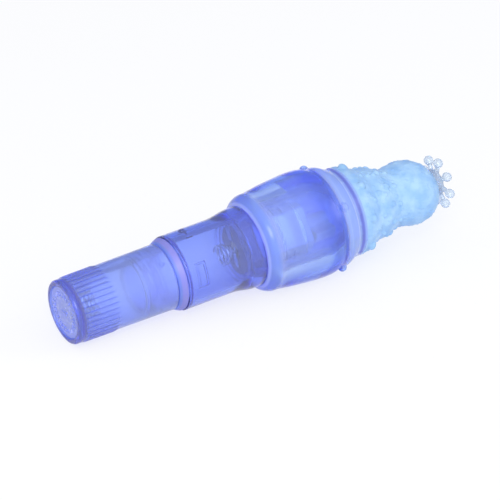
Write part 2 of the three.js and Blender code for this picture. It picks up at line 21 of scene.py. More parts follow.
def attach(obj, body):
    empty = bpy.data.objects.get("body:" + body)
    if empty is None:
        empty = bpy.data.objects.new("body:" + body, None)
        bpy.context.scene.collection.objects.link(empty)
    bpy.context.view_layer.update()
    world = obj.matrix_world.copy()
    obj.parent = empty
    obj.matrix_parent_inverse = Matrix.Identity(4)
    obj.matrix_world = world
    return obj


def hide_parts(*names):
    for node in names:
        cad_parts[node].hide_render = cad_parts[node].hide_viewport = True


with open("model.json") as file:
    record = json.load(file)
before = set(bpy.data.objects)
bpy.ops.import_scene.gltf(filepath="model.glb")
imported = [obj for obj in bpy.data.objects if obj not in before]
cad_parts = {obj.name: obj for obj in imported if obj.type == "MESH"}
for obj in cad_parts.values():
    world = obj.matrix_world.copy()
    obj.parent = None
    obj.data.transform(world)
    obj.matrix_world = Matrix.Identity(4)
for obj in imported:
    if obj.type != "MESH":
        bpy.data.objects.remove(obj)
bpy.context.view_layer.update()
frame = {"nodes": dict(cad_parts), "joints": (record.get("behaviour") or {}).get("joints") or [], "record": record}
nodes = frame["nodes"]

# %% [markdown]
# ## The axis frame
#
# Every piece is turned about one long axis. That axis is tilted by almost five degrees, because the part
# lies on its cap's ribs and on the swell of the sleeve. It is easier to draw each piece in a frame of its
# own, in millimetres, with x along the axis from the cap's outer end. One matrix then takes the piece to
# the table.

# %% Make the axis frame
MM = 0.001
joints = {joint["name"]: joint for joint in frame["joints"]}
along = Vector(joints["rotor_spin"]["axis"]).normalized()
on_axis = Vector(joints["rotor_spin"]["pos_m"])
cap_rim = Vector(frame["record"]["mounts"][0]["pos_m"])
cap_end_point = on_axis + along * (cap_rim - on_axis).dot(along)
across = Vector((0, 1, 0))
upward = along.cross(across)
TURN = Matrix((along, across, upward)).transposed().to_4x4()
TO_TABLE = Matrix.Translation(cap_end_point) @ TURN @ Matrix.Scale(MM, 4)
print("the axis rises by", round(math.degrees(math.asin(along.z)), 2), "degrees")


# %% [markdown]
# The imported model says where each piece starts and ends. Reading its stations and radii from the model's
# own corners, and not typing them again, keeps every clear shell in the place of the solid it stands for.

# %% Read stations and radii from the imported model
FROM_TABLE = np.array(TO_TABLE.inverted())


def corners_of(node):
    """Stations and radii, in millimetres, of a node's corners."""
    spots = np.empty(len(nodes[node].data.vertices) * 3)
    nodes[node].data.vertices.foreach_get("co", spots)
    local = spots.reshape(-1, 3) @ FROM_TABLE[:3, :3].T + FROM_TABLE[:3, 3]
    return local[:, 0], np.hypot(local[:, 1], local[:, 2])


def span(node):
    """First and last station of a node."""
    stations, _ = corners_of(node)
    return float(stations.min()), float(stations.max())


def radii_at(node, station, reach=0.05):
    """Least and greatest radius of a node's corners near a station."""
    stations, radii = corners_of(node)
    near = radii[abs(stations - station) < reach]
    return float(near.min()), float(near.max())


cap_start, cap_end = span("battery_cap")
tube_start, tube_end = span("battery_tube")
head_start, head_end = span("head_shell")
sleeve_start, sleeve_end = span("soft_sleeve")
for name, station in (("cap", cap_end), ("tube", tube_end), ("head", head_end), ("sleeve", sleeve_end)):
    print("the", name, "ends at", round(station, 2), "mm")

# %% [markdown]
# ## The camera
#
# The photograph was taken from in front and above with a long lens: the two sides of the tube stay nearly
# parallel. The cap's end is the nearer one. The view's direction follows from the ellipses of the cap's
# end, the seal ring and the sleeve's mouth.

# %% Set up the camera
VIEW_AZIMUTH = math.radians(-31.17)
VIEW_ELEVATION = math.radians(27.42)
VIEW_DISTANCE = 1.0
VIEW_WIDTH = 0.1476
AIM_STATION = 64.3
AIM_PIXEL = (254.0, 243.3)
PHOTO_PIXELS = 500
SENSOR = 36
NEAR_CLIP = 0.05

back = Vector((
    math.sin(VIEW_AZIMUTH) * math.cos(VIEW_ELEVATION),
    -math.cos(VIEW_AZIMUTH) * math.cos(VIEW_ELEVATION),
    math.sin(VIEW_ELEVATION),
))
facing = (-back).to_track_quat("-Z", "Y")
pixel = VIEW_WIDTH / PHOTO_PIXELS
view_right = facing @ Vector((1, 0, 0))
view_up = facing @ Vector((0, 1, 0))
aim = TO_TABLE @ Vector((AIM_STATION, 0, 0))
aim -= view_right * (AIM_PIXEL[0] - PHOTO_PIXELS / 2) * pixel
aim -= view_up * (PHOTO_PIXELS / 2 - AIM_PIXEL[1]) * pixel


def put(name, data):
    """A new object in the scene."""
    item = bpy.data.objects.new(name, data)
    bpy.context.scene.collection.objects.link(item)
    return item


camera = put("camera", bpy.data.cameras.new("camera"))
camera.location = aim + back * VIEW_DISTANCE
camera.rotation_mode = "QUATERNION"
camera.rotation_quaternion = facing
camera.data.sensor_width = SENSOR
camera.data.lens = SENSOR * VIEW_DISTANCE / VIEW_WIDTH
camera.data.clip_start = NEAR_CLIP
bpy.context.scene.camera = camera
bpy.context.scene.view_settings.view_transform = "Standard"
print("lens", round(camera.data.lens), "mm")

# %% [markdown]
# ## Floor and light
#
# The picture is a cut-out on white, lit softly from all round. Lamps that turn a floor white can wash out
# the object. So the floor is mostly its own light for the eye, and for what is seen in gloss or through
# clear plastic, and it keeps a small share of real shading, which is the shadow.
#
# Floor, sky and materials are trees of nodes, and helpers keep them short. One adds a node and fills its
# sockets, one makes a slope between two values, one blends two colours, and one is a noise.


# %% Helpers for node trees
def fill(socket, value):
    """Gives a socket a link from another socket, or a constant."""
    if isinstance(value, bpy.types.NodeSocket):
        socket.id_data.links.new(value, socket)
    elif socket.type == "RGBA":
        socket.default_value = (*value, 1)
    else:
        socket.default_value = value


def node_maker(owner):
    """Empties the node tree of a material or a world, and returns a short way to add nodes to it."""
    owner.use_nodes = True
    tree = owner.node_tree
    tree.nodes.clear()

    def add(kind, *values, **named):
        """A new shader node. Plain values fill its first sockets, named ones the sockets of that name."""
        node = tree.nodes.new("ShaderNode" + kind)
        for key, value in named.items():
            if key in ("operation", "data_type", "interpolation_type"):
                setattr(node, key, value)
            else:
                fill(node.inputs[key.replace("_", " ")], value)
        for socket, value in zip(node.inputs, values):
            fill(socket, value)
        return node

    return add


def ramp(add, value, low, high, least=0.0, most=1.0, kind="LINEAR"):
    """The least at one value, the most at another, and a slope between them."""
    node = add("MapRange", value, low, high, least, most, interpolation_type=kind)
    return node.outputs["Result"]


def between(add, factor, first, second, kind="RGBA"):
    """A colour between two colours, or a number between two numbers where the kind is VALUE."""
    mix = add("Mix", factor, data_type="RGBA" if kind == "RGBA" else "FLOAT")
    for socket, value in zip([s for s in mix.inputs if s.type == kind][-2:], (first, second)):
        fill(socket, value)
    return [s for s in mix.outputs if s.type == kind][0]


def noise_at(add, spot, scale, detail=2.0):
    """A noise between 0 and 1. The scale counts its patches in a metre."""
    return add("TexNoise", Vector=spot, Scale=scale, Detail=detail).outputs["Fac"]


def seen_directly(add):
    """1 for what the eye sees, straight, in a reflection or through something clear."""
    path = add("LightPath")
    total = path.outputs["Is Camera Ray"]
    for name in ("Is Glossy Ray", "Is Transmission Ray"):
        total = add("Math", total, path.outputs[name], operation="MAXIMUM").outputs[0]
    return total


# %% Make the floor
FLOOR_HALF = 3
FLOOR_GLOW_SHARE = 0.72
WHITE = (1, 1, 1)
FLOOR_PAINT = (0.92, 0.92, 0.92)

floor_material = bpy.data.materials.new("pale floor")
add = node_maker(floor_material)
paint = add("BsdfDiffuse", Color=FLOOR_PAINT)
glow = add("Emission", Color=WHITE)
share = add("Math", seen_directly(add), FLOOR_GLOW_SHARE, operation="MULTIPLY")
blend = add("MixShader", share.outputs[0], paint.outputs[0], glow.outputs[0])
add("OutputMaterial", blend.outputs[0])

floor_mesh = bpy.data.meshes.new("floor")
floor_corners = [(x * FLOOR_HALF, y * FLOOR_HALF, 0) for x, y in ((-1, -1), (1, -1), (1, 1), (-1, 1))]
floor_mesh.from_pydata(floor_corners, [], [(0, 1, 2, 3)])
floor_mesh.materials.append(floor_material)
floor = put("floor", floor_mesh)
print("the floor is", 2 * FLOOR_HALF, "m wide")

# %% [markdown]
# The object is pale on the side of the key lamp and deeper blue away from it. Clear plastic shows mostly
# what stands round it, so the sky has two colours: white on the lit side and blue on the far side. The
# eye doesn't see it: behind the floor's edge there is a plain white backdrop.

# %% Make the sky
SKY_FAR = (0.42, 0.51, 0.86)
SKY_NEAR = WHITE
SKY_FAR_END, SKY_NEAR_START = -0.5, 0.6
SKY_LEVEL = 0.85
BACKDROP_LEVEL = 0.97
LIT_SIDE = Vector((-0.45, -0.7, 0.55)).normalized()

world = bpy.data.worlds.new("studio")
bpy.context.scene.world = world
add = node_maker(world)
outward = add("TexCoord").outputs["Generated"]
to_light = add("VectorMath", outward, LIT_SIDE, operation="DOT_PRODUCT")
nearness = ramp(add, to_light.outputs["Value"], SKY_FAR_END, SKY_NEAR_START)
sky = add("Background", between(add, nearness, SKY_FAR, SKY_NEAR), SKY_LEVEL)
backdrop = add("Background", WHITE, BACKDROP_LEVEL)
seen = add("LightPath").outputs["Is Camera Ray"]
shown = add("MixShader", seen, sky.outputs[0], backdrop.outputs[0])
add("OutputWorld", shown.outputs[0])
print("the sky's level is", SKY_LEVEL)


# %% Make the lamps
def softbox(name, place, size, watts):
    """A soft rectangular lamp that faces the middle of the part."""
    lamp = bpy.data.lights.new(name, "AREA")
    lamp.shape = "RECTANGLE"
    lamp.size, lamp.size_y = size
    lamp.energy = watts
    box = put(name, lamp)
    box.location = place
    box.rotation_euler = (aim - box.location).to_track_quat("-Z", "Y").to_euler()
    print("made the", name, "of", watts, "watts")


softbox("key lamp", (-0.45, -0.65, 0.6), (0.4, 0.4), 5)
softbox("fill lamp", (0.8, -0.45, 0.5), (0.5, 0.5), 2)

# %% [markdown]
# ## How the shells are drawn
#
# Turned parts are outlines spun about the axis. Three helpers carry nearly the whole model: one rounds the
# corners of an outline, one cuts long stretches into short steps where the surface has relief, and one
# spins the outline. Relief, such as ribs, threads and nubs, is a function that moves the points.


# %% Outline helpers
LONGEST_REACH_SHARE = 0.48


def rounded(outline, steps=4):
    """Turns each (x, r, round) corner into an arc of that radius."""
    points = []
    count = len(outline)
    for i, (x, r, radius) in enumerate(outline):
        here = np.array((x, r), float)
        before = np.array(outline[i - 1][:2], float) - here
        after = np.array(outline[(i + 1) % count][:2], float) - here
        lengths = np.linalg.norm(before), np.linalg.norm(after)
        if radius <= 0 or min(lengths) == 0:
            points.append(tuple(here))
            continue
        before, after = before / lengths[0], after / lengths[1]
        half = math.acos(float(np.clip(before @ after, -1, 1))) / 2
        reach = min(radius / math.tan(half), LONGEST_REACH_SHARE * min(lengths))
        radius = reach * math.tan(half)
        middle = (before + after) / np.linalg.norm(before + after)
        centre = here + middle * radius / math.sin(half)
        first, last = here + before * reach - centre, here + after * reach - centre
        for k in range(steps + 1):
            spoke = first * (1 - k / steps) + last * k / steps
            points.append(tuple(centre + spoke / np.linalg.norm(spoke) * radius))
    return points


def stepped(points, x0, x1, step, closed=True):
    """Cuts the stretches of an outline that lie between two stations into short steps."""
    out = []
    ends = points[1:] + points[:1] if closed else points[1:]
    for a, b in zip(points, ends):
        out.append(a)
        low, high = sorted((a[0], b[0]))
        if high <= x0 or low >= x1 or high - low < step:
            continue
        cuts = [x for x in np.arange(low, high, step) if max(low, x0) < x < min(high, x1)]
        cuts = cuts if b[0] > a[0] else cuts[::-1]
        out += [(x, a[1] + (b[1] - a[1]) * (x - a[0]) / (b[0] - a[0])) for x in cuts]
    if not closed:
        out.append(points[-1])
    return out


def band(a, b, sides):
    """Faces between two rings of corners, whose first corners are a and b."""
    return [(a + j, a + (j + 1) % sides, b + (j + 1) % sides, b + j) for j in range(sides)]


def spun(points, sides, relief=None, closed=True):
    """Spins an outline about the axis. relief(x, r, angle) returns new stations and radii."""
    x, r = np.array(points, float).T[:, :, None]
    angle = np.arange(sides)[None, :] * math.tau / sides
    x, r = np.broadcast_to(x, (len(points), sides)), np.broadcast_to(r, (len(points), sides))
    if relief:
        x, r = relief(x, r, angle)
    spots = np.stack([x, -r * np.sin(angle), r * np.cos(angle)], axis=-1).reshape(-1, 3)
    rows = len(points) if closed else len(points) - 1
    faces = []
    for k in range(rows):
        faces += band(k * sides, (k + 1) % len(points) * sides, sides)
    return spots, faces


# %% Turn corners and faces into a piece
WELD = 0.002


def dress(name, shape, material, body, replaces, sharp=35):
    """Makes a piece from corners in the axis frame, and ties it to its body and its CAD solids."""
    spots, faces = shape
    mesh = bpy.data.meshes.new(name)
    mesh.from_pydata(spots.tolist(), [], faces)
    mesh.transform(TO_TABLE)
    work = bmesh.new()
    work.from_mesh(mesh)
    bmesh.ops.remove_doubles(work, verts=work.verts, dist=WELD * MM)
    bmesh.ops.recalc_face_normals(work, faces=work.faces)
    if work.calc_volume(signed=True) < 0:
        bmesh.ops.reverse_faces(work, faces=work.faces)
    work.to_mesh(mesh)
    work.free()
    mesh.shade_smooth()
    mesh.set_sharp_from_angle(angle=math.radians(sharp))
    mesh.materials.append(material)
    piece = put(name, mesh)
    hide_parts(*replaces)
    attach(piece, body)
    print(name, "has", len(mesh.polygons), "faces")


# %% [markdown]
# ## Clear plastic
#
# A clear wall is a refracting shader with a tint, and a little absorption inside, so that a long way
# through the plastic is darker than a short one. Refraction alone keeps the lamps' light out and leaves
# the inside dark. So rays that ask for a lamp see a tinted, transparent surface instead.
#
# In the photo the shells are darker along the bottom. Here that shade is painted: a mask takes the angle of a spot
# about the axis, and is 1 only at the very bottom.

# %% Masks that know a spot's place on the part
PAINTED_SHADE_START = math.radians(127)


def axis_place(add, spot):
    """How far a spot lies across, above and along the axis, from the cap's end."""
    from_end = add("VectorMath", spot, cap_end_point, operation="SUBTRACT").outputs[0]
    return [add("VectorMath", from_end, direction, operation="DOT_PRODUCT").outputs["Value"]
            for direction in (across, upward, along)]


def turn_about_axis(add, spot):
    """The angle of a spot about the axis, which is 0 at the top."""
    aside, above, _ = axis_place(add, spot)
    return add("Math", aside, above, operation="ARCTAN2").outputs[0]


def painted_underside_shade(add, spot):
    """Where shade is painted: 0 over most of the way round, and 1 at the very bottom."""
    size = add("Math", turn_about_axis(add, spot), operation="ABSOLUTE").outputs[0]
    return ramp(add, size, PAINTED_SHADE_START, math.pi)


def product(add, shares):
    """All shares multiplied."""
    total = shares[0]
    for share in shares[1:]:
        total = add("Math", total, share, operation="MULTIPLY").outputs[0]
    return total


# %% A maker of clear materials
GRAIN_DEPTH = 0.05
CLOUD_SIZE = 6
WEAR_SHARES = (0.7, 1.3)


def lamps_pass(add, shader, lamp_tint):
    """The shader, except that rays that ask for a lamp see a tinted, transparent surface."""
    asks_for_lamp = add("LightPath").outputs["Is Shadow Ray"]
    through = add("BsdfTransparent", Color=lamp_tint)
    return add("MixShader", asks_for_lamp, shader.outputs[0], through.outputs[0]).outputs[0]


def clear_material(name, tint, haze, roughness, soak, density, lamp_tint, bending=1.49, grain=0.1,
                   grain_size=900, mask=None, mask_tint=None, underside_shade_tint=None):
    """Clear plastic. haze is the share of milk in it, soak and density its absorption inside. The underside shade
    tint is painted shade along the bottom, and the mask tint lies where the mask, a function of the spot, is 1."""
    material = bpy.data.materials.new(name)
    add = node_maker(material)
    spot = add("TexCoord").outputs["Object"]
    noise = noise_at(add, spot, grain_size, 3.0)
    bump = add("Bump", Height=noise, Strength=grain, Distance=GRAIN_DEPTH * MM)
    cloud = noise_at(add, spot, grain_size / CLOUD_SIZE)
    wear = ramp(add, cloud, 0, 1, roughness * WEAR_SHARES[0], roughness * WEAR_SHARES[1])
    colour = tint
    # Painted shade: a deeper tint along the bottom.
    if underside_shade_tint:
        colour = between(add, painted_underside_shade(add, spot), colour, underside_shade_tint)
    if mask:
        colour = between(add, mask(add, spot), colour, mask_tint)
    shader = add("BsdfPrincipled", Base_Color=colour, Roughness=wear, IOR=bending,
                 Normal=bump.outputs["Normal"], Transmission_Weight=1 - haze)
    soaked = add("VolumeAbsorption", Color=soak, Density=density)
    add("OutputMaterial", lamps_pass(add, shader, lamp_tint), soaked.outputs[0])
    print("made", name)
    return material


# %% [markdown]
# ## The battery cap
#
# The cap is a drafted cup. Its end is a rounded rim round a recessed disc, its near half has finger ribs,
# and its mouth has a thread inside. The ribs are relief on the outside wall: one rib is a low round
# ridge, and it fades at both ends. The thread is the same idea along a helix, on the inside wall.

# %% Relief shapes shared by the cap and the tube
PITCH = 3.0
THREAD_HEIGHT = 0.05
THREAD_SHARE = 0.3
EDGE_SOFT = 0.15
NEAR, MARGIN = 0.1, 1


def fade(x, x0, x1, soft):
    """0 outside two stations and 1 between them, with soft ends."""
    rise = np.clip((x - x0) / soft, 0, 1)
    fall = np.clip((x1 - x) / soft, 0, 1)
    ease = np.minimum(rise, fall)
    return ease * ease * (3 - 2 * ease)


def apart(angle, middle):
    """How far an angle lies from a middle, in radians, the short way round."""
    return (angle - middle + math.pi) % math.tau - math.pi


def thread(x, angle, x0, x1, offset=0.0):
    """A right-handed ridge between two stations, moved along by a share of the pitch."""
    turn = (x / PITCH - angle / math.tau + offset) % 1
    ridge = np.clip(1 - abs(turn - 0.5) / THREAD_SHARE, 0, 1)
    return THREAD_HEIGHT * ridge * ridge * (3 - 2 * ridge) * fade(x, x0, x1, PITCH / 2)


def raised(x, arc, x0, x1, arc0, arc1, soft=EDGE_SOFT):
    """A patch between two stations and two arc lengths, with soft edges."""
    return fade(x, x0 - soft, x1 + soft, soft) * fade(arc, arc0 - soft, arc1 + soft, soft)


# %% Sizes of the cap
RIB_COUNT = 38
RIB_START, RIB_END = 1.9, 14.0
CAP_BAY_RADIUS = 8.3
CAP_FLOOR_END = 2.95
RIM_ROUND = 1.1
RIM_LAND = 0.55
SEAT_GAP = 0.3

disc_start, disc_end = span("cap_end_disc")
cap_bore, cap_mouth = radii_at("battery_cap", cap_end)
cap_rim_radius = radii_at("battery_cap", cap_start)[1]
cap_foot = cap_rim_radius + RIM_ROUND
thread_start = span("tube_contact_strip")[0] - SEAT_GAP
print("the cap is", round(2 * cap_mouth, 2), "mm across at its mouth")

# %% [markdown]
# Between the ribs the cap shows thin dark lines, and here they are painted shade. A stripe texture could draw
# them, but it would not keep step with the ribs. So the mask counts ribs by the angle about the axis, as the
# relief does. It also paints a little shade on the end rim.

# %% Material of the cap
LINE_SHARE = 0.15
LINE_FADE = 1
GROOVE_SHADE_SHARE = 0.85
RIM_SHADE_SHARE = 0.4
RIM_SHADE_END, RIM_SHADE_FULL = 2.2, 1.4


def painted_groove_and_rim_shade(add, spot):
    """Painted shade: strong at the foot of each groove between the ribs, weaker on the end rim, and 0 elsewhere.
    """
    station = axis_place(add, spot)[2]
    ribs = add("Math", turn_about_axis(add, spot), RIB_COUNT / math.tau, operation="MULTIPLY")
    off = add("Math", ribs.outputs[0], 0.5, operation="PINGPONG").outputs[0]
    grooves = product(add, [
        ramp(add, off, 0.5 - LINE_SHARE, 0.5, most=GROOVE_SHADE_SHARE),
        ramp(add, station, RIB_START * MM, (RIB_START + LINE_FADE) * MM),
        ramp(add, station, RIB_END * MM, (RIB_END - LINE_FADE) * MM),
    ])
    rim = ramp(add, station, RIM_SHADE_END * MM, RIM_SHADE_FULL * MM, most=RIM_SHADE_SHARE)
    return add("Math", grooves, rim, operation="MAXIMUM").outputs[0]


# Painted shade: the mask tint darkens the grooves between the ribs and the end rim.
# The cap's underside shade tint is painted shade along its bottom.
shell_ribbed = clear_material(
    "ribbed clear blue plastic", tint=(0.76, 0.83, 0.965), haze=0.14, roughness=0.2,
    soak=(0.2, 0.42, 0.975), density=530, lamp_tint=(0.8, 0.85, 0.99),
    mask=painted_groove_and_rim_shade, mask_tint=(0.22, 0.27, 0.78), underside_shade_tint=(0.53, 0.62, 0.85))

# %% Relief of the cap
RIB_HEIGHT = 0.25
RIB_FADE = 1.8
GROOVE_SHARE = 0.17
MARK_HEIGHT = 0.3
ARROW_ANGLE = math.radians(37)
ARROW_START, ARROW_END = 29.4, 31.2
ARROW_HALF, NO_ARROW = 1.1, -0.5
ARROW_SOFT = 0.2
THREAD_OFFSET_SHARE = 0.5


def cap_relief(x, r, angle):
    """Finger ribs and a small arrow on the outside, and the thread on the inside."""
    outside = r > (cap_bore + cap_mouth) / 2
    from_groove = 0.5 - abs((angle * RIB_COUNT / math.tau + 0.5) % 1 - 0.5)
    rib = RIB_HEIGHT * (1 - np.exp(-(from_groove / GROOVE_SHARE) ** 2))
    ribs = rib * fade(x, RIB_START, RIB_END, RIB_FADE)
    half = np.maximum(ARROW_HALF * (ARROW_END - x) / (ARROW_END - ARROW_START), NO_ARROW)
    arc = abs(apart(angle, ARROW_ANGLE)) * cap_mouth
    arrow = MARK_HEIGHT * fade(arc, -MARGIN, half, ARROW_SOFT) * fade(x, ARROW_START, ARROW_END, EDGE_SOFT)
    inside = (r < cap_bore + NEAR) & (r > CAP_BAY_RADIUS + NEAR)
    groove = thread(x, angle, thread_start, cap_end, THREAD_OFFSET_SHARE)
    return x, r + np.where(outside & (x > RIM_ROUND), ribs + arrow, 0) - np.where(inside, groove, 0)


# %% Make the cap
SIDES_PER_RIB = 12
CAP_SIDES = RIB_COUNT * SIDES_PER_RIB
RIB_STEP, ARROW_STEP, THREAD_STEP = 0.35, 0.2, 0.25
ARROW_ZONE_START = 28

cap_outline = rounded([
    (disc_end + SEAT_GAP, 0, 0), (disc_end + SEAT_GAP, cap_rim_radius - RIM_LAND, 0),
    (0, cap_rim_radius - RIM_LAND, 0.12), (0, cap_foot, RIM_ROUND),
    (cap_end, cap_mouth, 0.15), (cap_end, cap_bore, 0.15),
    (thread_start, cap_bore, 0.1), (CAP_FLOOR_END, CAP_BAY_RADIUS, 0.8), (CAP_FLOOR_END, 0, 0),
])
cap_outline = stepped(cap_outline, RIM_ROUND, RIB_END + MARGIN, RIB_STEP, closed=False)
cap_outline = stepped(cap_outline, ARROW_ZONE_START, cap_end, ARROW_STEP, closed=False)
cap_outline = stepped(cap_outline, thread_start, cap_end, THREAD_STEP, closed=False)
dress("cap_shell", spun(cap_outline, CAP_SIDES, cap_relief, closed=False), shell_ribbed,
      "screw_cap", ["battery_cap"])

# %% [markdown]
# The disc in the cap's end is a paler, milkier moulding with a pitted face. A ring of raised ticks stands
# on it round a minus sign, for the end of the cell that the cap touches. The marks are relief and not a
# picture, so that they catch the light. Pale spots in a ring about the axis colour the pits.

# %% Material of the end disc
MOTTLE_INNER, MOTTLE_OUTER = 2.2, 6.4
MOTTLE_FADE = 1
MOTTLE_SCALE = 1100
MOTTLE_DARK, MOTTLE_PALE = 0.5, 0.62


def disc_mottle(add, spot):
    """Pale spots in a ring about the axis."""
    from_end = add("VectorMath", spot, cap_end_point, operation="SUBTRACT").outputs[0]
    sideways = add("VectorMath", from_end, along, operation="CROSS_PRODUCT").outputs[0]
    far = add("VectorMath", sideways, operation="LENGTH").outputs["Value"]
    return product(add, [
        ramp(add, noise_at(add, spot, MOTTLE_SCALE), MOTTLE_DARK, MOTTLE_PALE),
        ramp(add, far, (MOTTLE_INNER - MOTTLE_FADE) * MM, MOTTLE_INNER * MM),
        ramp(add, far, (MOTTLE_OUTER + MOTTLE_FADE) * MM, MOTTLE_OUTER * MM),
    ])


disc_lilac = clear_material(
    "pitted lilac plastic", tint=(0.41, 0.5, 0.93), haze=0.4, roughness=0.25,
    soak=(0.3, 0.38, 0.95), density=200, lamp_tint=(0.8, 0.8, 0.97), grain=1.0, grain_size=1300,
    mask=disc_mottle, mask_tint=(0.62, 0.7, 0.97))

# %% Make the end disc
TICK_COUNT = 28
TICK_INNER, TICK_OUTER = 5.0, 6.5
TICK_HALF_SHARE = 0.25
SIGN_HALF, SIGN_WIDTH = 1.8, 0.45
MARK_SOFT = 0.2
EMBOSS = 0.3
DISC_RINGS = 44
SIDES_PER_TICK = 12
DISC_SIDES = TICK_COUNT * SIDES_PER_TICK
disc_radius = radii_at("cap_end_disc", disc_start)[1]


def disc_relief(x, r, angle):
    """Ticks and a minus sign that stand out of the disc's face."""
    tick = abs((angle * TICK_COUNT / math.tau + 0.5) % 1 - 0.5) < TICK_HALF_SHARE
    ticks = fade(r, TICK_INNER, TICK_OUTER, MARK_SOFT) * tick
    y, z = r * np.sin(angle), r * np.cos(angle)
    sign = fade(y, -SIGN_HALF, SIGN_HALF, MARK_SOFT) * fade(z, -SIGN_WIDTH, SIGN_WIDTH, MARK_SOFT)
    face = x < (disc_start + disc_end) / 2
    return x - np.where(face, EMBOSS * np.maximum(ticks, sign), 0), r


disc_face = [(disc_start, disc_radius * k / DISC_RINGS) for k in range(DISC_RINGS)]
disc_edge = rounded([(disc_start, disc_radius, 0.15), (disc_end, disc_radius, 0.1), (disc_end, 0, 0)])
dress("end_disc", spun(disc_face + disc_edge, DISC_SIDES, disc_relief, closed=False), disc_lilac,
      "screw_cap", ["cap_end_disc"])

# %% [markdown]
# ## The seal ring and the battery tube
#
# The lilac ring between the cap and the tube is a short cone, milkier than its neighbours. It is thin at its near
# edge, and the blue of the cap, which shows through it there, is painted on it. One material with a mask along the
# axis does this, because two pieces would show a seam.

# %% Material of the seal ring
NEAR_EDGE_END = 34.0
NEAR_EDGE_FADE = 0.4


def painted_cap_blue_edge(add, spot):
    """1 on the thin near edge of the seal ring, where the cap's blue seen through it is painted, and 0 on the rest
    of it.
    """
    station = axis_place(add, spot)[2]
    return ramp(add, station, NEAR_EDGE_END * MM, (NEAR_EDGE_END - NEAR_EDGE_FADE) * MM)


# The mask tint is the cap's blue, painted where it shows through the ring's thin near edge.
shell_lilac = clear_material(
    "clear lilac plastic", tint=(0.43, 0.43, 0.82), haze=0.42, roughness=0.42,
    soak=(0.35, 0.37, 0.95), density=200, lamp_tint=(0.8, 0.8, 0.97), grain=0.2,
    mask=painted_cap_blue_edge, mask_tint=(0.27, 0.4, 0.86))

# %% Make the seal ring
SEAL_SIDES = 144
SEAL_LAND = 0.35
SEAL_DRAFT = 0.05
seal_start, seal_end = span("cap_seal_ring")
seal_inner, seal_small = radii_at("cap_seal_ring", seal_start)
seal_large = corners_of("cap_seal_ring")[1].max()
seal_outline = rounded([
    (seal_start, seal_inner, 0), (seal_start, seal_small, 0.1), (seal_end - SEAL_LAND, seal_large, 0.3),
    (seal_end, seal_large - SEAL_DRAFT, 0.25), (seal_end, seal_inner, 0),
])
dress("seal_ring", spun(seal_outline, SEAL_SIDES), shell_lilac, "seal", ["cap_seal_ring"])

# %% [markdown]
# The tube has a threaded neck inside the cap, a straight barrel with a small catch frame inside, a flare,
# and a rounded lip. Its inner shoulder is chamfered, because a square one shows through the wall as a dark
# band. The catch frame and the marks for off and on are relief on the inner and the outer wall. A mark has
# its first and last station, and its first and last arc length from the middle of the marks.

# %% Sizes of the tube
SHOULDER_GAP = 0.3
NECK_WALL = 0.75
NECK_RADIUS = cap_bore - SEAT_GAP
NECK_BORE = NECK_RADIUS - NECK_WALL
NECK_LEAD, NECK_LEAD_LENGTH = 0.4, 1.6
TUBE_BORE = 9.92
BORE_LEAD = 1.5
MOUTH_BORE = 10.2
TUBE_ROUND = 1.7
SHOULDER_ROUND = 0.35
SHOULDER_SKIN = 0.4
FLARE_LENGTH = 8.4
FLARE_STEPS = 16

shoulder = seal_end + SHOULDER_GAP
tube_radius = radii_at("battery_tube", shoulder + SHOULDER_ROUND)[1]
flare_radius = corners_of("battery_tube")[1].max()
carrier_start, carrier_end = span("contact_carrier")
bore_step = shoulder + BORE_LEAD
print("the tube is", round(2 * tube_radius, 2), "mm across, and", round(2 * flare_radius, 2), "at its lip")

# %% Marks and relief of the tube
MARKS_ANGLE = math.radians(0.5)
BAR_SIGN = (41.0, 42.8, 2.0, 2.3)
DASH_SIGN = (41.8, 42.0, -0.5, 0.6)
ZERO_MIDDLE = (41.9, -2.3)
ZERO_HALF = (0.8, 1.15)
ZERO_LINE_SHARE = 0.34
CATCH_ANGLE = math.radians(76.5)
CATCH_HALF = 3.6
CATCH_LENGTH = 3.1
CATCH_EDGE = 0.55
CATCH_HEIGHT = 0.45
CATCH_PLACE_SHARE = 0.175
TUBE_WALL_HALF = 0.6

catch_start = shoulder + (carrier_start - shoulder) * CATCH_PLACE_SHARE
catch_end = catch_start + CATCH_LENGTH


def tube_marks(x, angle):
    """A raised 0 and I with a dash between, round the tube, for off and on."""
    arc = apart(angle, MARKS_ANGLE) * tube_radius
    signs = np.maximum(raised(x, arc, *BAR_SIGN), raised(x, arc, *DASH_SIGN))
    far = np.hypot((x - ZERO_MIDDLE[0]) / ZERO_HALF[0], (arc - ZERO_MIDDLE[1]) / ZERO_HALF[1])
    zero = np.clip(1 - abs(far - 1) / ZERO_LINE_SHARE, 0, 1) ** 0.5
    return MARK_HEIGHT * np.maximum(signs, zero)


def tube_relief(x, r, angle):
    """Marks outside, the thread on the neck, and the catch frame on the bore."""
    outside = (r > TUBE_BORE + TUBE_WALL_HALF) & (x > shoulder + MARGIN)
    neck = (x < shoulder) & (r > NECK_RADIUS - NEAR)
    bore = (r < TUBE_BORE + NEAR) & (x > bore_step - NEAR) & (x < carrier_end)
    arc = apart(angle, CATCH_ANGLE) * TUBE_BORE
    pad = raised(x, arc, catch_start, catch_end, -CATCH_HALF, CATCH_HALF)
    well = raised(x, arc, catch_start + CATCH_EDGE, catch_end - CATCH_EDGE,
                  CATCH_EDGE - CATCH_HALF, CATCH_HALF - CATCH_EDGE)
    r = r + np.where(outside, tube_marks(x, angle), 0)
    r = r + np.where(neck, thread(x, angle, tube_start, shoulder), 0)
    return x, r - np.where(bore, CATCH_HEIGHT * (pad - well), 0)


# %% Make the battery tube
TUBE_SIDES = 360
TUBE_STEP = 0.22

